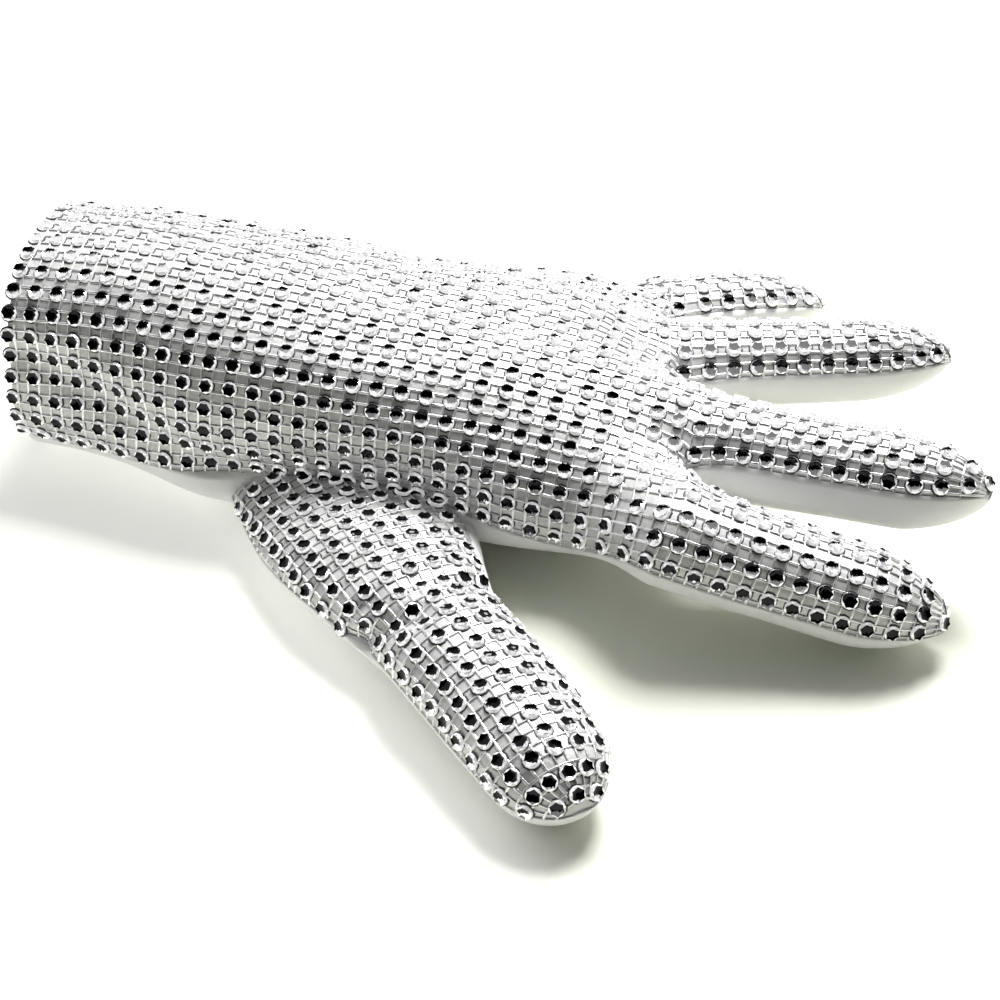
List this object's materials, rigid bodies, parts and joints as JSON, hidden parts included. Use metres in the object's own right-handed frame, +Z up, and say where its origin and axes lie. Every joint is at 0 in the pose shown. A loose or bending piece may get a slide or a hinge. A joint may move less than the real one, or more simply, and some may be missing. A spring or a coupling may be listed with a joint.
{
  "type": "sequin glove",
  "caption": "Left-hand dress glove with a stone-set net over its back, fingers and thumb and a smooth satin palm.",
  "frame": {"origin": "centre of the glove's outline on the surface it rests on", "axes": "+X from the cuff to the fingertips, +Y to the little finger's side, +Z up off the back of the hand"},
  "size_m": [0.2064, 0.167, 0.0492],
  "materials": {
    "satin": "smooth white satin",
    "net": "silver thread net with clear foiled stones"
  },
  "bodies": {
    "root": {"palm_panel": "satin", "back_panel": "satin", "sequin_mesh_back": "net", "thumb_palm": "satin", "thumb_back": "satin", "sequin_mesh_thumb": "net"}
  },
  "joints": []
}
